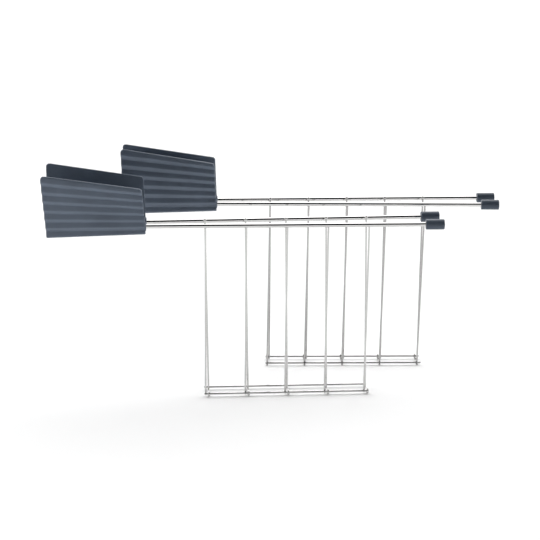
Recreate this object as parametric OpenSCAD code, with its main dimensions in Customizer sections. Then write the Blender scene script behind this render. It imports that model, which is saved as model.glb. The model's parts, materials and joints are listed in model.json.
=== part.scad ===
/* [Wire cage] */
// Distance between neighbouring uprights
upright_pitch = 31; // [24:0.5:34]
// Diameter of the uprights and the floor wires
upright_d = 1.4; // [1.2:0.1:2]
// Diameter of the long wires along the bottom of the cage
base_wire_d = 1.6; // [1.4:0.1:2.4]
// Distance between the two bottom wires
base_gap = 15.5; // [14:0.5:24]

/* [Rails] */
// Diameter of the two long rails
rail_d = 3.2; // [3:0.1:4]
// Height of the rail axes above the table
rail_height = 137; // [110:0.5:150]
// Distance between the rail axes at the middle of the cage
rail_gap = 19; // [18:0.5:26]
// Sideways run of each rail for every millimetre of its length
rail_flare = 0.025; // [0:0.005:0.035]
// Distance from the middle of the cage to the inner end of the caps
cap_start = 106.5; // [90:0.5:120]
// Distance from the middle of the cage to the handles
handle_start = 105; // [90:1:120]

/* [End caps] */
// Diameter of the end caps
cap_d = 7.9; // [6:0.1:9]
// Length of the end caps
cap_length = 14; // [10:0.1:20]

/* [Handles] */
// Length of a handle plate along its lower edge
plate_length = 74.5; // [60:0.5:90]
// Height of the plate above the rail at its free end
plate_rise_outer = 47; // [36:0.5:60]
// Height of the plate above the rail at the cage end
plate_rise_inner = 35; // [28:0.5:48]
// Depth of the plate below the rail at its free end
plate_drop_outer = 7.5; // [5:0.1:10]
// Depth of the plate below the rail at the cage end
plate_drop_inner = 5; // [4.5:0.1:8]
// Thickness of the plate between its ridges
plate_wall = 1.5; // [1.2:0.1:3]
// Number of ridges on the outside of the plate
ridge_count = 7; // [5:1:9]
// Height of the ridges
ridge_height = 1.8; // [0.5:0.1:2]
// Diameter of the moulded barrel that turns on the rail
barrel_d = 7; // [6:0.1:7.4]

/* [Layout of the pair] */
// Sideways offset of the rear rack
rear_offset_x = 55; // [0:1:80]
// Offset of the rear rack behind the front rack
rear_offset_y = 66; // [64:1:140]
// Turn of the rear rack about the vertical
rear_turn = -2.5; // [-6:0.5:0]
// Outward lean of the front rack's front handle
front_lean_near = 21; // [-4:0.5:30]
// Outward lean of the front rack's back handle
front_lean_far = 20; // [-4:0.5:30]
// Outward lean of the rear rack's front handle
rear_lean_near = 8; // [-4:0.5:30]
// Outward lean of the rear rack's back handle
rear_lean_far = -4; // [-4:0.5:30]

/* [Hidden] */
$fn = 48;

// Uprights in each cage side, and floor wires in each cage: NODES names one of each
upright_count = 5;

FRONT = 0;
REAR = 1;
NEAR = -1;
FAR = 1;
steel = [0.78, 0.79, 0.8];
slate = [0.3, 0.34, 0.4];

// Shift that puts the middle of the pair's footprint at the origin
set_shift = [2.226, -29.486, 0];
weld_sink = 0.15;
running_clearance = 0.05;
press_interference = 0.02;
ridge_root = 0.3;
corner_steps = 6;
base_wire_overhang = 2.2;
floor_wire_overhang = 1.5;
foot_drop = 0.75;
// Where each cage sits along its rails
cage_shift = [1.7, -1.8];
// Half the step along the cage between the feet of a near and a far upright
foot_step = [1.2, 0.9];
// How far the tops of the uprights lean towards the caps, near side and far side
upright_lean = [[1.5, -1.2], [2.6, 1]];
// The eye's wire passes a little to one side of the straight wire that it bends from
eye_side_step = 0.3;

upright_r = upright_d / 2;
base_wire_r = base_wire_d / 2;
rail_r = rail_d / 2;
barrel_r = barrel_d / 2;
cage_half = upright_pitch * (upright_count - 1) / 2;
rail_angle = atan(rail_flare);
// The eye's centre line, and the height of the wire that turns in it
eye_r = base_wire_r + running_clearance + upright_r;
swing_wire_z = eye_r + upright_r;
fixed_wire_z = upright_d + base_wire_r - weld_sink;
base_side = base_wire_r + upright_r - weld_sink;
rail_side = rail_r + upright_r - weld_sink;
upright_top = rail_height + rail_r * 0.6;
// A fixed upright stands on its floor wire, a swinging one ends clear of the table
fixed_upright_foot = upright_d - weld_sink;
swing_upright_foot = swing_wire_z - base_wire_r - foot_drop;

barrel_overrun = 0.4;
barrel_start = handle_start - barrel_overrun;
barrel_end = handle_start + plate_length - 3;
bore_end = barrel_end - 3;
rail_tail = bore_end - 1;
cap_wall = 2.3;
rail_nose = cap_start + cap_length - cap_wall;
plate_inner_face = 1.2;
plate_face = plate_inner_face + plate_wall;
// The upper corners are set back from the lower ones at the cage end, and reach
// past them at the free end
plate_setback = 1.2;
plate_splay = 0.5;
// Ridges spread from the cage end to the free end of the plate
ridge_pitch_outer = 8.1;
ridge_pitch_inner = 6;
ridge_first_outer = 1.5;
ridge_first_inner = 1.6;
ridge_half_width = 3.5;
ridge_r = (pow(ridge_half_width, 2) + pow(ridge_height, 2)) / (2 * ridge_height);

// Which side of each rack swings: the pair opens away from each other
swing_side = [NEAR, FAR];
plate_lean = [[front_lean_near, front_lean_far], [rear_lean_near, rear_lean_far]];

function lean_of(rack, side) = plate_lean[rack][side == NEAR ? 0 : 1];
function upright_foot_x(rack, side, i) =
    cage_shift[rack] - cage_half + (i - 1) * upright_pitch + side * foot_step[rack];
function upright_top_x(rack, side, i) =
    upright_foot_x(rack, side, i) + upright_lean[rack][side == NEAR ? 0 : 1];
function rail_y(x) = rail_gap / 2 + rail_flare * x;

// Points of an arc that rounds the corner b between a and c
function unit2(v) = v / norm(v);
function rounded_corner(a, b, c, r) =
    let (
        to_a = unit2(a - b),
        to_c = unit2(c - b),
        half = acos(to_a * to_c) / 2,
        centre = b + unit2(to_a + to_c) * r / sin(half),
        from = b + to_a * r / tan(half) - centre,
        to = b + to_c * r / tan(half) - centre,
        start = atan2(from[1], from[0]),
        sweep = atan2(from[0] * to[1] - from[1] * to[0], from * to)
    )
    [for (k = [0 : corner_steps])
        centre + r * [cos(start + sweep * k / corner_steps), sin(start + sweep * k / corner_steps)]];

// A straight round wire from a to b
module rod(a, b, r) {
    run = b - a;
    translate(a)
        rotate([0, acos(run[2] / norm(run)), atan2(run[1], run[0])])
            cylinder(h = norm(run), r = r);
}

// Puts a rack where it stands
module in_rack(rack) {
    translate(set_shift + (rack == REAR ? [rear_offset_x, rear_offset_y, 0] : [0, 0, 0]))
        rotate([0, 0, rack == REAR ? rear_turn : 0])
            children();
}

// A rail's own frame: X along the rail, +Y away from the other rail
module on_rail(rack, side) {
    in_rack(rack)
        mirror([0, side == NEAR ? 1 : 0, 0])
            translate([0, rail_gap / 2, rail_height])
                rotate([0, 0, rail_angle])
                    children();
}

module rail(rack, side) {
    color(steel)
        on_rail(rack, side)
            translate([-rail_tail, 0, 0])
                rotate([0, 90, 0])
                    cylinder(h = rail_tail + rail_nose, r = rail_r);
}

module cap(rack, side) {
    edge = 0.5;
    color(slate)
        on_rail(rack, side)
            translate([cap_start, 0, 0])
                rotate([0, 90, 0])
                    difference() {
                        rotate_extrude()
                            polygon([
                                [0, 0], [cap_d / 2 - edge, 0], [cap_d / 2, edge],
                                [cap_d / 2, cap_length - edge], [cap_d / 2 - edge, cap_length],
                                [0, cap_length],
                            ]);
                        translate([0, 0, -1])
                            cylinder(h = rail_nose - cap_start + 1, r = rail_r - press_interference);
                    }
}

// Outline of a plate seen from outside, with X along the rail and Y upwards
module plate_outline() {
    outer = -handle_start - plate_length;
    inner = -handle_start;
    low_outer = [outer, -plate_drop_outer];
    low_inner = [inner, -plate_drop_inner];
    high_inner = [inner - plate_setback, plate_rise_inner];
    high_outer = [outer - plate_splay, plate_rise_outer];
    low_r = 0.8;
    high_r = 2.6;
    polygon(concat(
        rounded_corner(high_outer, low_outer, low_inner, low_r),
        rounded_corner(low_outer, low_inner, high_inner, low_r),
        rounded_corner(low_inner, high_inner, high_outer, high_r),
        rounded_corner(high_inner, high_outer, low_outer, high_r)
    ));
}

// One ridge: a shallow slice of a long cylinder that follows the fan of the plate
module ridge(k) {
    overrun = 8;
    low = [-handle_start - plate_length, -plate_drop_outer + ridge_first_outer + k * ridge_pitch_outer];
    high = [-handle_start, -plate_drop_inner + ridge_first_inner + k * ridge_pitch_inner];
    along = unit2(high - low) * overrun;
    axis_y = plate_face + ridge_height - ridge_r;
    start = low - along;
    finish = high + along;
    rod([start[0], axis_y, start[1]], [finish[0], axis_y, finish[1]], ridge_r);
}

module handle(rack, side) {
    slab_length = plate_length + 20;
    color(slate)
        on_rail(rack, side)
            rotate([-lean_of(rack, side), 0, 0])
                difference() {
                    union() {
                        intersection() {
                            translate([0, plate_inner_face, 0])
                                mirror([0, 1, 0])
                                    rotate([90, 0, 0])
                                        linear_extrude(height = plate_wall + ridge_height + 1)
                                            plate_outline();
                            union() {
                                translate([-handle_start - slab_length + 10, plate_inner_face - 1, -20])
                                    cube([slab_length, plate_wall + ridge_root + 1, 80]);
                                for (k = [0 : ridge_count - 1])
                                    ridge(k);
                            }
                        }
                        translate([-barrel_end, 0, 0])
                            rotate([0, 90, 0])
                                cylinder(h = barrel_end - barrel_start, r = barrel_r);
                    }
                    translate([-bore_end, 0, 0])
                        rotate([0, 90, 0])
                            cylinder(h = bore_end, r = rail_r + running_clearance);
                }
}

module base_wire(rack, side) {
    z = side == swing_side[rack] ? swing_wire_z : fixed_wire_z;
    y = side * base_gap / 2;
    start = cage_shift[rack] - cage_half - base_wire_overhang;
    finish = cage_shift[rack] + cage_half + base_wire_overhang;
    color(steel)
        in_rack(rack)
            rod([start, y, z], [finish, y, z], base_wire_r);
}

// An upright stands inside its rail and inside its bottom wire
module upright(rack, side, i) {
    foot_x = upright_foot_x(rack, side, i);
    top_x = upright_top_x(rack, side, i);
    foot_z = side == swing_side[rack] ? swing_upright_foot : fixed_upright_foot;
    color(steel)
        in_rack(rack)
            rod(
                [foot_x, side * (base_gap / 2 - base_side), foot_z],
                [top_x, side * (rail_y(top_x) - rail_side), upright_top],
                upright_r
            );
}

// A floor wire is welded under the fixed bottom wire and ends in an eye round the other one
module floor_wire(rack, i) {
    swing = swing_side[rack];
    x = upright_foot_x(rack, -swing, i);
    color(steel)
        in_rack(rack)
            union() {
                rod([x, swing * base_gap / 2, upright_r],
                    [x, -swing * (base_gap / 2 + floor_wire_overhang), upright_r],
                    upright_r);
                translate([x - swing * eye_side_step, swing * base_gap / 2, swing_wire_z])
                    rotate([0, 90, 0])
                        rotate_extrude()
                            translate([eye_r, 0, 0])
                                circle(r = upright_r);
            }
}

// Every piece of one rack, each drawn only under its own name
module rack_pieces(prefix, rack) {
    swing = swing_side[rack];
    frames = [["fixed", -swing], ["swing", swing]];
    for (frame = frames) {
        name = str(prefix, "_", frame[0], "_");
        rail(rack, frame[1]);
        base_wire(rack, frame[1]);
        cap(rack, frame[1]);
        handle(rack, frame[1]);
        for (i = [1 : upright_count])
            upright(rack, frame[1], i);
    }
    for (i = [1 : upright_count])
        floor_wire(rack, i);
}

rack_pieces("front", FRONT);
rack_pieces("rear", REAR);
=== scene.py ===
"""Two wire sandwich racks for a toaster: polished wire cages, ribbed grip plates and end caps."""

import json
import math

import bmesh
import bpy
import numpy as np
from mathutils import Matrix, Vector


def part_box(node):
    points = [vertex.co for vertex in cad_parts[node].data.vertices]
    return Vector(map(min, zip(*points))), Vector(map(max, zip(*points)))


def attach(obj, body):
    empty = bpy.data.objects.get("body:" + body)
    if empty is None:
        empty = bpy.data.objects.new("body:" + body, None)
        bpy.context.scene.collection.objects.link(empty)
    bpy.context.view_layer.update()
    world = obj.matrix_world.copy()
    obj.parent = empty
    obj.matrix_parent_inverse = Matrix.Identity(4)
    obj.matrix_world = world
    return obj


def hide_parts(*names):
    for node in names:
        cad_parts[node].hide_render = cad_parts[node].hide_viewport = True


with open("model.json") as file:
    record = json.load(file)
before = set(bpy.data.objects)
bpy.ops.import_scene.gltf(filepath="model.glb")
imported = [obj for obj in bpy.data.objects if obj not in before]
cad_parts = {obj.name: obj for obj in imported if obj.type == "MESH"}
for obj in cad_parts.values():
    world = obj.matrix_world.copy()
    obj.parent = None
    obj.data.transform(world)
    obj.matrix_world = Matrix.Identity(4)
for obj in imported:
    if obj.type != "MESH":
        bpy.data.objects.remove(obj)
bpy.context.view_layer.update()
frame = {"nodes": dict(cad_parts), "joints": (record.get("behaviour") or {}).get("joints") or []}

MM = 0.001
RACKS = ("front", "rear")
HALVES = ("fixed", "swing")
UPRIGHTS = range(1, 6)
UP = Vector((0, 0, 1))

# Sizes of the design, in metres
RAIL_R = 1.6 * MM
UPRIGHT_R = 0.7 * MM
BASE_WIRE_R = 0.8 * MM
BARREL_R = 3.5 * MM
BORE_R = 1.65 * MM
CAP_R = 3.95 * MM
CAP_BORE_R = 1.58 * MM
PLATE_INNER_FACE = 1.2 * MM
PLATE_WALL = 1.5 * MM
RIDGE_HEIGHT = 1.8 * MM
RIDGE_COUNT = 7
# Half sizes of the welds: across the wire, outwards and upwards
TOP_WELD = (1.0 * MM, 0.5 * MM, 0.75 * MM)
LOW_WELD = (0.85 * MM, 0.4 * MM, 0.6 * MM)
RAIL_BEAD = (1.25 * MM, 1.0 * MM, 1.15 * MM)
FLOOR_WELD = (0.9 * MM, 0.9 * MM, 0.35 * MM)
# How far the bead sits above the rail's axis on the far halves
FAR_BEAD_RISE = 1.0 * MM
# An eye is wound this far round the hinge wire, in degrees
EYE_TURN = 318
EYE_SIDE_STEP = 0.3 * MM
# A lathe profile starts and ends this close to its axis
AXIS_R = 0.02 * MM
# A grip is fully open at this lean from the vertical, in degrees
OPEN_LEAN = 30

JOINTS = {j["name"]: j for j in frame["joints"]}


# ---------------------------------------------------------------- mesh tools

def new_piece(name, verts, faces, smooth_angle=35):
    """A mesh object with outward normals, shaded smooth up to the given angle."""
    mesh = bpy.data.meshes.new(name)
    mesh.from_pydata([tuple(v) for v in verts], [], faces)
    bm = bmesh.new()
    bm.from_mesh(mesh)
    bmesh.ops.recalc_face_normals(bm, faces=bm.faces)
    bm.to_mesh(mesh)
    bm.free()
    piece = bpy.data.objects.new(name, mesh)
    bpy.context.scene.collection.objects.link(piece)
    shade(piece, smooth_angle)
    return piece


def shade(piece, smooth_angle):
    """Smooth shading that keeps edges sharper than the angle crisp."""
    mesh = piece.data
    mesh.polygons.foreach_set("use_smooth", [True] * len(mesh.polygons))
    mesh.set_sharp_from_angle(angle=math.radians(smooth_angle))


def ring_frames(points):
    """Two directions across a path at each of its points, carried along without twist."""
    tangents = []
    for k in range(len(points)):
        before = points[max(k - 1, 0)]
        after = points[min(k + 1, len(points) - 1)]
        tangents.append((after - before).normalized())
    side = tangents[0].orthogonal().normalized()
    frames = []
    for tangent in tangents:
        side = (side - tangent * side.dot(tangent)).normalized()
        frames.append((side, tangent.cross(side)))
    return frames


def ring_faces(rings, sides):
    """Quads between neighbouring rings of vertices."""
    faces = []
    for ring in range(rings - 1):
        for k in range(sides):
            n = (k + 1) % sides
            faces.append((ring * sides + k, ring * sides + n,
                          (ring + 1) * sides + n, (ring + 1) * sides + k))
    return faces


def end_faces(rings, sides):
    """The flat faces that close the first and the last ring."""
    last = (rings - 1) * sides
    return [tuple(reversed(range(sides))), tuple(range(last, last + sides))]


def tube_mesh(points, radius, sides=24, nose=0.35):
    """Vertices and faces of a round wire along points, with its cut ends softened."""
    points = [Vector(p) for p in points]
    nose_len = radius * nose
    start_dir = (points[1] - points[0]).normalized()
    end_dir = (points[-1] - points[-2]).normalized()
    steps = 4
    turns = [math.pi / 2 * k / steps for k in range(steps + 1)]
    insets = [(nose_len * (1 - math.cos(t)), radius - nose_len * (1 - math.sin(t))) for t in turns]
    rings = [(points[0] + start_dir * inset, r) for inset, r in insets]
    rings += [(p, radius) for p in points[1:-1]]
    rings += [(points[-1] - end_dir * inset, r) for inset, r in reversed(insets)]
    frames = ring_frames([p for p, _ in rings])
    verts = []
    for (centre, r), (a, b) in zip(rings, frames):
        for k in range(sides):
            turn = 2 * math.pi * k / sides
            verts.append(centre + r * (a * math.cos(turn) + b * math.sin(turn)))
    return verts, ring_faces(len(rings), sides) + end_faces(len(rings), sides)


def blob_mesh(centre, across, along, r_across, r_along, r_up, rings=8, sides=16):
    """A small rounded bead, such as a weld, with its own half sizes."""
    up = across.cross(along)
    verts = []
    for i in range(1, rings):
        tilt = math.pi * i / rings
        for k in range(sides):
            turn = 2 * math.pi * k / sides
            verts.append(centre + across * (r_across * math.sin(tilt) * math.cos(turn))
                         + along * (r_along * math.sin(tilt) * math.sin(turn))
                         + up * (r_up * math.cos(tilt)))
    faces = ring_faces(rings - 1, sides)
    top = len(verts)
    verts.append(centre + up * r_up)
    verts.append(centre - up * r_up)
    for k in range(sides):
        n = (k + 1) % sides
        faces.append((top, n, k))
        faces.append((top + 1, (rings - 2) * sides + k, (rings - 2) * sides + n))
    return verts, faces


def merged(parts):
    """Joins several (verts, faces) lists into one."""
    verts, faces = [], []
    for part_verts, part_faces in parts:
        offset = len(verts)
        verts += list(part_verts)
        faces += [tuple(i + offset for i in f) for f in part_faces]
    return verts, faces


def lathe_mesh(profile, to_world, sides=64):
    """Turns a list of (along, radius) points about the X axis of a local frame."""
    verts = []
    for along, radius in profile:
        for k in range(sides):
            turn = 2 * math.pi * k / sides
            verts.append(to_world(along, radius * math.cos(turn), radius * math.sin(turn)))
    return verts, ring_faces(len(profile), sides) + end_faces(len(profile), sides)


def fillet(rim, centre_x, centre_r, start, end, steps=5):
    """Arc points for a lathe profile, from one angle to another in degrees."""
    turns = [math.radians(start + (end - start) * k / steps) for k in range(steps + 1)]
    return [(centre_x + rim * math.cos(t), centre_r + rim * math.sin(t)) for t in turns]


def boolean(piece, other, operation):
    """Applies an exact boolean and removes the second object."""
    cut = piece.modifiers.new("cut", "BOOLEAN")
    cut.operation = operation
    cut.object = other
    cut.solver = "EXACT"
    graph = bpy.context.evaluated_depsgraph_get()
    result = bpy.data.meshes.new_from_object(piece.evaluated_get(graph))
    piece.modifiers.clear()
    old = piece.data
    piece.data = result
    bpy.data.meshes.remove(old)
    bpy.data.objects.remove(other)


# ---------------------------------------------------------------- materials

class Nodes:
    """Short access to one material's node tree."""

    def __init__(self, name):
        self.material = bpy.data.materials.new(name)
        self.material.use_nodes = True
        self.tree = self.material.node_tree
        self.shader = self.tree.nodes["Principled BSDF"]

    def add(self, kind, **values):
        node = self.tree.nodes.new(kind)
        for key, value in values.items():
            if key in node.inputs:
                node.inputs[key].default_value = value
            else:
                setattr(node, key, value)
        return node

    def link(self, out_socket, in_socket):
        self.tree.links.new(out_socket, in_socket)

    def ramp(self, factor, stops):
        node = self.add("ShaderNodeValToRGB")
        band = node.color_ramp
        band.elements[0].position, band.elements[0].color = stops[0][0], (*stops[0][1], 1)
        band.elements[1].position, band.elements[1].color = stops[-1][0], (*stops[-1][1], 1)
        for position, colour in stops[1:-1]:
            band.elements.new(position).color = (*colour, 1)
        self.link(factor, node.inputs["Fac"])
        return node.outputs["Color"]

    def spread(self, factor, low, high):
        node = self.add("ShaderNodeMapRange")
        node.inputs["To Min"].default_value = low
        node.inputs["To Max"].default_value = high
        self.link(factor, node.inputs["Value"])
        return node.outputs["Result"]

    def bump(self, height, strength, distance):
        node = self.add("ShaderNodeBump", Strength=strength, Distance=distance)
        self.link(height, node.inputs["Height"])
        self.link(node.outputs["Normal"], self.shader.inputs["Normal"])


def steel_material(name, colour, roughness, streak_scale):
    """Polished drawn wire: long fine streaks in tone, roughness and height."""
    n = Nodes(name)
    coords = n.add("ShaderNodeTexCoord")
    stretch = n.add("ShaderNodeMapping", Scale=streak_scale)
    n.link(coords.outputs["Object"], stretch.inputs["Vector"])
    streaks = n.add("ShaderNodeTexNoise", Scale=1.0, Detail=4.0, Roughness=0.6)
    n.link(stretch.outputs["Vector"], streaks.inputs["Vector"])
    dark = tuple(c * 0.86 for c in colour)
    n.link(n.ramp(streaks.outputs["Fac"], [(0.3, dark), (0.7, colour)]), n.shader.inputs["Base Color"])
    n.link(n.spread(streaks.outputs["Fac"], roughness * 0.7, roughness * 1.4), n.shader.inputs["Roughness"])
    n.bump(streaks.outputs["Fac"], 0.12, 0.00004)
    n.shader.inputs["Metallic"].default_value = 1.0
    return n.material


def plastic_material(name, colour, roughness):
    """Satin moulded plastic: a fine spark-eroded grain with a faint drift in tone."""
    n = Nodes(name)
    coords = n.add("ShaderNodeTexCoord")
    drift = n.add("ShaderNodeTexNoise", Scale=38.0, Detail=3.0, Roughness=0.55)
    grain = n.add("ShaderNodeTexNoise", Scale=2600.0, Detail=2.0, Roughness=0.5)
    for texture in (drift, grain):
        n.link(coords.outputs["Object"], texture.inputs["Vector"])
    dark = tuple(c * 0.9 for c in colour)
    light = tuple(c * 1.08 for c in colour)
    n.link(n.ramp(drift.outputs["Fac"], [(0.3, dark), (0.7, light)]), n.shader.inputs["Base Color"])
    n.link(n.spread(grain.outputs["Fac"], roughness - 0.05, roughness + 0.07), n.shader.inputs["Roughness"])
    n.bump(grain.outputs["Fac"], 0.18, 0.00005)
    n.shader.inputs["Specular IOR Level"].default_value = 0.2
    return n.material


rail_steel = steel_material("polished_rail_steel", (0.66, 0.655, 0.65), 0.05, (40, 1500, 1500))
# The rear rack's wires are a darker copy of the same steel: painted shade standing in for the dimmer light
# on the rear rack
wire_steel = {
    "front": steel_material("polished_wire_steel", (0.6, 0.595, 0.59), 0.1, (1500, 1500, 60)),
    "rear": steel_material("shaded_copy_wire_steel", (0.46, 0.455, 0.45), 0.1, (1500, 1500, 60)),
}
# The rear base wires are likewise a darker copy of the same steel: painted shade
base_steel = {
    "front": steel_material("polished_base_steel", (0.6, 0.595, 0.59), 0.08, (60, 1500, 1500)),
    "rear": steel_material("shaded_copy_base_steel", (0.48, 0.475, 0.47), 0.08, (60, 1500, 1500)),
}
grip_plastic = plastic_material("slate_grip_plastic", (0.128, 0.156, 0.2), 0.42)
cap_plastic = plastic_material("slate_cap_plastic", (0.074, 0.092, 0.122), 0.36)


def finish_piece(piece, body, slot, material, *nodes):
    """Gives a piece its material, its body and the CAD nodes that it stands for; the slot argument is not
    used.
    """
    piece.data.materials.clear()
    piece.data.materials.append(material)
    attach(piece, body)
    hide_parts(*nodes)
    for node in nodes:
        shown = frame["nodes"][node].data.materials
        if shown:
            shown[0] = material
        else:
            shown.append(material)


# ---------------------------------------------------------------- places from the frame

def rail_frame(rack, half):
    """Origin on the rail's axis at mid cage, the way to the caps, and the way outwards."""
    joint = JOINTS[f"{rack}_{half}_grip_swivel"]
    origin = Vector(joint["pos_m"])
    axis = Vector(joint["axis"]).normalized()
    to_caps = axis if axis.x > 0 else -axis
    outward = axis.cross(UP)
    lean = math.radians(OPEN_LEAN - joint["range_deg"][1])
    return origin, to_caps, outward, lean


def rack_axes(rack):
    """The rack's own directions: along the bottom wires and towards the swinging side."""
    axis = Vector(JOINTS[f"{rack}_cage_hinge"]["axis"]).normalized()
    along = axis if axis.x > 0 else -axis
    return along, axis.cross(UP)


def along_range(node, origin, direction):
    """Lowest and highest position of a CAD node's vertices along a direction."""
    reach = [(v.co - origin).dot(direction) for v in frame["nodes"][node].data.vertices]
    return min(reach), max(reach)


# ---------------------------------------------------------------- wires

def make_rail(rack, half):
    node = f"{rack}_{half}_rail"
    origin, to_caps, _, _ = rail_frame(rack, half)
    low, high = along_range(node, origin, to_caps)
    steps = 24
    points = [origin + to_caps * (low + (high - low) * k / steps) for k in range(steps + 1)]
    piece = new_piece(f"{node}_rod", *tube_mesh(points, RAIL_R, sides=48))
    finish_piece(piece, body_name(rack, half), "rail_steel", rail_steel, node)


def make_base_wire(rack, half):
    node = f"{rack}_{half}_base_wire"
    along, _ = rack_axes(rack)
    low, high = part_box(node)
    centre = (low + high) / 2
    first, last = along_range(node, centre, along)
    steps = 16
    points = [centre + along * (first + (last - first) * k / steps) for k in range(steps + 1)]
    piece = new_piece(f"{node}_rod", *tube_mesh(points, BASE_WIRE_R, sides=32))
    finish_piece(piece, body_name(rack, half), "wire_steel", base_steel[rack], node)


def end_centres(node):
    """Centres of the two ends of an upright, from its CAD vertices."""
    co = [v.co for v in frame["nodes"][node].data.vertices]
    lowest = min(c.z for c in co)
    highest = max(c.z for c in co)
    middle = (lowest + highest) / 2
    foot = [c for c in co if c.z < middle]
    head = [c for c in co if c.z >= middle]
    return sum(foot, Vector()) / len(foot), sum(head, Vector()) / len(head)


def make_upright(rack, half, number):
    node = f"{rack}_{half}_upright_{number}"
    foot, head = end_centres(node)
    along, towards_swing = rack_axes(rack)
    outward = towards_swing if half == "swing" else -towards_swing
    origin, to_caps, _, _ = rail_frame(rack, half)
    steps = 14
    points = [foot.lerp(head, k / steps) for k in range(steps + 1)]
    wire = tube_mesh(points, UPRIGHT_R, sides=24)
    direction = (head - foot).normalized()
    at_rail = foot + direction * ((origin.z - foot.z) / direction.z)
    low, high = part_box(f"{rack}_{half}_base_wire")
    base_z = (low.z + high.z) / 2
    at_base = foot + direction * ((base_z - foot.z) / direction.z)
    top_weld = blob_mesh(at_rail + outward * UPRIGHT_R, to_caps, outward, *TOP_WELD)
    low_weld = blob_mesh(at_base + outward * UPRIGHT_R, along, outward, *LOW_WELD)
    # On the far side the wire's end is fused into a small bead on the rail's shoulder
    bead_rise = FAR_BEAD_RISE if outward.y > 0 else 0
    bead = blob_mesh(at_rail + UP * bead_rise, to_caps, outward, *RAIL_BEAD, rings=12, sides=24)
    piece = new_piece(f"{node}_wire", *merged([wire, top_weld, low_weld, bead]))
    finish_piece(piece, body_name(rack, half), "wire_steel", wire_steel[rack], node)


def make_floor_wire(rack, number):
    """Straight along the table, then round the hinge wire in an open eye."""
    node = f"{rack}_floor_wire_{number}"
    hinge = Vector(JOINTS[f"{rack}_cage_hinge"]["pos_m"])
    along, outward = rack_axes(rack)
    co = [v.co for v in frame["nodes"][node].data.vertices]
    tail_reach = min((c - hinge).dot(outward) for c in co)
    straight = [c for c in co if (c - hinge).dot(outward) < tail_reach + 1 * MM]
    x_tail = sum((c - hinge).dot(along) for c in straight) / len(straight)
    side_step = math.copysign(EYE_SIDE_STEP, outward.y)
    eye_r = hinge.z - UPRIGHT_R
    points = []
    for k in range(9):
        reach = tail_reach * (1 - k / 8) - 2.5 * MM * (k / 8)
        points.append(hinge + outward * reach + along * x_tail + UP * (UPRIGHT_R - hinge.z))
    eye_turn = math.radians(EYE_TURN)
    steps = 40
    for k in range(steps + 1):
        turn = eye_turn * k / steps
        points.append(hinge + along * (x_tail - side_step * min(1, 6 * k / steps))
                      + outward * (eye_r * math.sin(turn)) - UP * (eye_r * math.cos(turn)))
    low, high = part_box(f"{rack}_fixed_base_wire")
    weld_at = hinge + along * x_tail
    weld_at += outward * ((low + high) / 2 - weld_at).dot(outward)
    weld_at.z = 2 * UPRIGHT_R
    weld = blob_mesh(weld_at, along, outward, *FLOOR_WELD)
    piece = new_piece(f"{node}_loop", *merged([tube_mesh(points, UPRIGHT_R, sides=24), weld]))
    finish_piece(piece, f"{rack}_base", "wire_steel", wire_steel[rack], node)


def body_name(rack, half):
    return f"{rack}_base" if half == "fixed" else f"{rack}_swing_frame"


# ---------------------------------------------------------------- end caps

def make_cap(rack, half):
    """A plain moulded cap: softened rims, a blind hole and a slightly dished end."""
    node = f"{rack}_{half}_cap"
    origin, to_caps, outward, _ = rail_frame(rack, half)
    start, end = along_range(node, origin, to_caps)
    _, rail_end = along_range(f"{rack}_{half}_rail", origin, to_caps)
    rim = 0.45 * MM
    dish = 0.25 * MM

    def to_world(x, y, z):
        return origin + to_caps * x + outward * y + UP * z

    profile = [(rail_end, AXIS_R), (rail_end, CAP_BORE_R), (start + 0.3 * MM, CAP_BORE_R),
               (start, CAP_BORE_R + 0.3 * MM)]
    profile += fillet(rim, start + rim, CAP_R - rim, 180, 90)
    profile += fillet(rim, end - rim, CAP_R - rim, 90, 0)
    profile += [(end, CAP_R - 1.0 * MM), (end - dish, CAP_R - 1.4 * MM), (end - dish, AXIS_R)]
    piece = new_piece(f"{node}_moulding", *lathe_mesh(profile, to_world, sides=72), smooth_angle=40)
    finish_piece(piece, body_name(rack, half), "cap_plastic", cap_plastic, node)


# ---------------------------------------------------------------- grip plates

# Corners of a plate in its own plane, in metres: X along the rail, Y upwards from the rail
PLATE_CORNERS = [Vector(c) * MM for c in ((-179.5, -7.5), (-105, -5), (-106.2, 35), (-180, 47))]
CORNER_RADII = [0.8 * MM, 0.8 * MM, 2.6 * MM, 2.6 * MM]
RIM_R = 0.7 * MM
BARREL_START = -104.6 * MM
BARREL_END = -176.5 * MM
BORE_END = -173.5 * MM
RIDGE_FIRST = (-6 * MM, -3.4 * MM)
RIDGE_PITCH = (8.1 * MM, 6 * MM)


def half_corner(index, first_half, steps=8):
    """Half of the arc that rounds a plate corner."""
    before = PLATE_CORNERS[index - 1]
    corner = PLATE_CORNERS[index]
    after = PLATE_CORNERS[(index + 1) % 4]
    r = CORNER_RADII[index]
    to_before = (before - corner).normalized()
    to_after = (after - corner).normalized()
    half = to_before.angle(to_after) / 2
    centre = corner + (to_before + to_after).normalized() * r / math.sin(half)
    start = corner + to_before * r / math.tan(half) - centre
    end = corner + to_after * r / math.tan(half) - centre
    turn = math.atan2(start.x * end.y - start.y * end.x, start.dot(end))
    base = math.atan2(start.y, start.x)
    span = (0, 0.5) if first_half else (0.5, 1)
    angles = [base + turn * (span[0] + (span[1] - span[0]) * k / steps) for k in range(steps + 1)]
    return [centre + r * Vector((math.cos(a), math.sin(a))) for a in angles]


def plate_side(index):
    """One side of the outline, from the middle of one corner's arc to the next."""
    return half_corner(index, False) + half_corner((index + 1) % 4, True)


def resampled(line, fractions):
    """Points at the given fractions of a polyline's length."""
    pts = np.array([tuple(p) for p in line])
    lengths = np.r_[0, np.cumsum(np.linalg.norm(np.diff(pts, axis=0), axis=1))]
    at = np.asarray(fractions) * lengths[-1]
    return np.c_[np.interp(at, lengths, pts[:, 0]), np.interp(at, lengths, pts[:, 1])]


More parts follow.
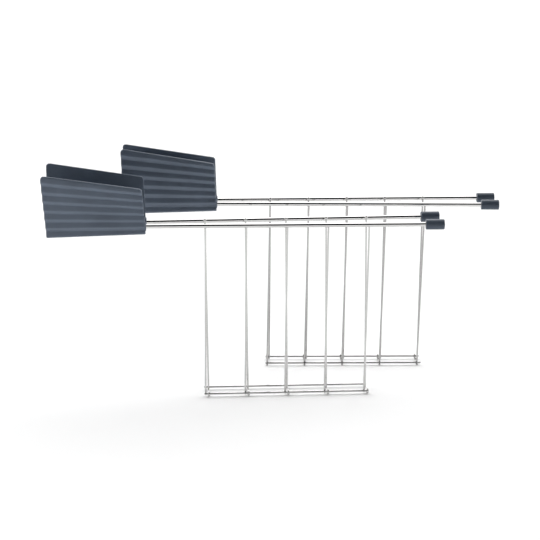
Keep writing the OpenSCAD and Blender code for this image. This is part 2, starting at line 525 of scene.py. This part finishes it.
def edge_spacing(length, step):
    """Fractions that crowd towards both ends, where the rim is rounded."""
    near = np.array([0, 0.07, 0.18, 0.33, 0.55, 0.85, 1.3]) * MM
    count = max(int(round((length - 2 * near[-1]) / step)), 1)
    middle = np.linspace(near[-1], length - near[-1], count + 1)
    return np.r_[near[:-1], middle, length - near[:-1][::-1]] / length


def outline_distance(points, outline):
    """Distance from each point to the closed outline."""
    a = outline
    b = np.roll(outline, -1, axis=0)
    best = np.full(len(points), 1e9)
    for p, q in zip(a, b):
        run = q - p
        t = np.clip(((points - p) @ run) / (run @ run + 1e-18), 0, 1)
        best = np.minimum(best, np.linalg.norm(points - (p + t[:, None] * run), axis=1))
    return best


def ridge_profile(points):
    """Height of the fanned ridges above the plate's face."""
    share = (points[:, 0] - PLATE_CORNERS[0].x) / (PLATE_CORNERS[1].x - PLATE_CORNERS[0].x)
    first = RIDGE_FIRST[0] + (RIDGE_FIRST[1] - RIDGE_FIRST[0]) * share
    pitch = RIDGE_PITCH[0] + (RIDGE_PITCH[1] - RIDGE_PITCH[0]) * share
    phase = (points[:, 1] - first) / pitch
    from_crest = np.abs(phase - np.clip(np.round(phase), 0, RIDGE_COUNT - 1))
    crest_round = 0.06
    fall = np.sqrt(from_crest ** 2 + crest_round ** 2) - crest_round
    return RIDGE_HEIGHT * np.clip(1 - fall / (0.5 - crest_round), 0, 1)


def plate_grid():
    """A patch over the outline, with its outer and inner surface heights."""
    bottom, right, top, left = (plate_side(k) for k in range(4))
    width = (PLATE_CORNERS[1] - PLATE_CORNERS[0]).length
    height = (PLATE_CORNERS[3] - PLATE_CORNERS[0]).length
    a = edge_spacing(width, 1.6 * MM)
    b = edge_spacing(height, 0.4 * MM)
    low = resampled(bottom, a)
    high = resampled(top, 1 - a)
    near = resampled(left, 1 - b)
    far = resampled(right, b)
    s, t = np.meshgrid(a, b)
    s, t = s[..., None], t[..., None]
    corners = ((1 - s) * (1 - t) * low[0] + s * (1 - t) * low[-1]
               + (1 - s) * t * high[0] + s * t * high[-1])
    patch = ((1 - t) * low[None] + t * high[None] + (1 - s) * near[:, None] + s * far[:, None] - corners)
    flat = patch.reshape(-1, 2)
    outline = np.concatenate([resampled(side, np.linspace(0, 1, 240)[:-1])
                              for side in (bottom, right, top, left)])
    depth = np.minimum(outline_distance(flat, outline), RIM_R)
    drop = RIM_R - np.sqrt(np.maximum(RIM_R ** 2 - (RIM_R - depth) ** 2, 0))
    outer = PLATE_INNER_FACE + PLATE_WALL + ridge_profile(flat) - drop
    inner = PLATE_INNER_FACE + drop
    return flat, outer, inner, len(b), len(a)


def make_grip(rack, half):
    """A thin ribbed plate with a barrel on its inner side that turns on the rail."""
    node = f"{rack}_{half}_handle"
    origin, to_caps, outward, lean = rail_frame(rack, half)
    plate_up = UP * math.cos(lean) + outward * math.sin(lean)
    plate_out = outward * math.cos(lean) - UP * math.sin(lean)

    def to_world(x, y, z):
        return origin + to_caps * x + plate_out * y + plate_up * z

    flat, outer, inner, rows, columns = plate_grid()
    count = rows * columns
    verts = [to_world(x, y, z) for (x, z), y in zip(flat, outer)]
    verts += [to_world(x, y, z) for (x, z), y in zip(flat, inner)]
    faces = []
    for r in range(rows - 1):
        for c in range(columns - 1):
            k = r * columns + c
            faces.append((k, k + 1, k + columns + 1, k + columns))
            faces.append((count + k, count + k + columns, count + k + columns + 1, count + k + 1))
    loop = list(range(columns))
    loop += [r * columns + columns - 1 for r in range(1, rows)]
    loop += [(rows - 1) * columns + c for c in range(columns - 2, -1, -1)]
    loop += [r * columns for r in range(rows - 2, 0, -1)]
    for k, vert in enumerate(loop):
        after = loop[(k + 1) % len(loop)]
        faces.append((vert, count + vert, count + after, after))
    piece = new_piece(f"{rack}_{half}_grip_plate", verts, faces)

    rim = 0.4 * MM
    barrel_profile = [(BARREL_END, AXIS_R)]
    barrel_profile += fillet(rim, BARREL_END + rim, BARREL_R - rim, 180, 90)
    barrel_profile += fillet(rim, BARREL_START - rim, BARREL_R - rim, 90, 0)
    barrel_profile += [(BARREL_START, AXIS_R)]
    barrel = new_piece("barrel", *lathe_mesh(barrel_profile, to_world))
    bore = new_piece("bore", *lathe_mesh([(BORE_END, BORE_R), (BARREL_START + 1 * MM, BORE_R)], to_world))
    boolean(piece, barrel, "UNION")
    boolean(piece, bore, "DIFFERENCE")
    shade(piece, 38)
    finish_piece(piece, f"{rack}_{half}_grip", "handle_plastic", grip_plastic, node)


for rack_name in RACKS:
    for half_name in HALVES:
        make_rail(rack_name, half_name)
        make_base_wire(rack_name, half_name)
        make_cap(rack_name, half_name)
        make_grip(rack_name, half_name)
        for wire_number in UPRIGHTS:
            make_upright(rack_name, half_name, wire_number)
    for wire_number in UPRIGHTS:
        make_floor_wire(rack_name, wire_number)


# ---------------------------------------------------------------- studio

def make_floor():
    material = Nodes("pale_floor")
    material.shader.inputs["Base Color"].default_value = (0.85, 0.85, 0.85, 1)
    material.shader.inputs["Emission Color"].default_value = (1, 1, 1, 1)
    material.shader.inputs["Emission Strength"].default_value = 0.12
    material.shader.inputs["Roughness"].default_value = 0.9
    material.shader.inputs["Specular IOR Level"].default_value = 0.1
    half = 15.0
    corners = [(-half, -half, 0), (half, -half, 0), (half, half, 0), (-half, half, 0)]
    floor = new_piece("floor", [Vector(c) for c in corners], [(0, 1, 2, 3)])
    floor.data.materials.append(material.material)


def make_world():
    """White behind, dark over the front and overhead, and pale all round near the horizon."""
    world = bpy.data.worlds.new("studio")
    bpy.context.scene.world = world
    world.use_nodes = True
    tree = world.node_tree
    background = tree.nodes["Background"]
    coords = tree.nodes.new("ShaderNodeTexCoord")
    split = tree.nodes.new("ShaderNodeSeparateXYZ")
    tree.links.new(coords.outputs["Generated"], split.inputs["Vector"])
    front = tree.nodes.new("ShaderNodeMath")
    front.operation = "MULTIPLY"
    front.inputs[1].default_value = -1.0
    tree.links.new(split.outputs["Y"], front.inputs[0])
    angle = tree.nodes.new("ShaderNodeMath")
    angle.operation = "ARCTAN2"
    tree.links.new(split.outputs["Z"], angle.inputs[0])
    tree.links.new(front.outputs["Value"], angle.inputs[1])
    turn = tree.nodes.new("ShaderNodeMath")
    turn.operation = "DIVIDE"
    turn.inputs[1].default_value = math.pi
    tree.links.new(angle.outputs["Value"], turn.inputs[0])
    strip = tree.nodes.new("ShaderNodeValToRGB")
    band = strip.color_ramp
    stops = [(0.0, 0.6), (0.02, 0.6), (0.05, 0.0), (0.52, 0.0), (0.56, 1.0), (1.0, 1.0)]
    band.elements[0].position, band.elements[0].color = stops[0][0], (stops[0][1],) * 3 + (1,)
    band.elements[1].position, band.elements[1].color = stops[-1][0], (stops[-1][1],) * 3 + (1,)
    for position, level in stops[1:-1]:
        band.elements.new(position).color = (level, level, level, 1)
    tree.links.new(turn.outputs["Value"], strip.inputs["Fac"])
    horizon = tree.nodes.new("ShaderNodeMapRange")
    for socket, value in (("From Min", 0.05), ("From Max", 0.1), ("To Min", 0.6), ("To Max", 0.0)):
        horizon.inputs[socket].default_value = value
    tree.links.new(split.outputs["Z"], horizon.inputs["Value"])
    brighter = tree.nodes.new("ShaderNodeMath")
    brighter.operation = "MAXIMUM"
    tree.links.new(strip.outputs["Color"], brighter.inputs[0])
    tree.links.new(horizon.outputs["Result"], brighter.inputs[1])
    tree.links.new(brighter.outputs["Value"], background.inputs["Color"])
    background.inputs["Strength"].default_value = 2.5


def area_light(name, place, target, size, power):
    light = bpy.data.lights.new(name, "AREA")
    light.shape = "RECTANGLE"
    light.size, light.size_y = size
    light.energy = power
    lamp = bpy.data.objects.new(name, light)
    lamp.location = place
    lamp.rotation_euler = (Vector(target) - Vector(place)).to_track_quat("-Z", "Y").to_euler()
    bpy.context.scene.collection.objects.link(lamp)


def make_camera():
    """Looks along the cages from slightly above, a little turned to the right."""
    azimuth, elevation = math.radians(3.15), math.radians(16)
    distance = 1.1
    rack_middle = Vector(JOINTS["front_cage_hinge"]["pos_m"])
    target = Vector((rack_middle.x - 0.0109, rack_middle.y + 0.00775, 0.0995))
    view = Vector((math.sin(azimuth) * math.cos(elevation), math.cos(azimuth) * math.cos(elevation),
                   -math.sin(elevation)))
    data = bpy.data.cameras.new("camera")
    data.lens = 95.6
    data.sensor_width = 36
    data.clip_start = 0.05
    camera = bpy.data.objects.new("camera", data)
    camera.location = target - view * distance
    camera.rotation_euler = view.to_track_quat("-Z", "Y").to_euler()
    bpy.context.scene.collection.objects.link(camera)
    bpy.context.scene.camera = camera


make_floor()
make_world()
area_light("overhead", (0.1, 0.9, 1.6), (0, 0, 0.05), (1.8, 1.2), 3)
make_camera()
bpy.context.scene.view_settings.view_transform = "Standard"
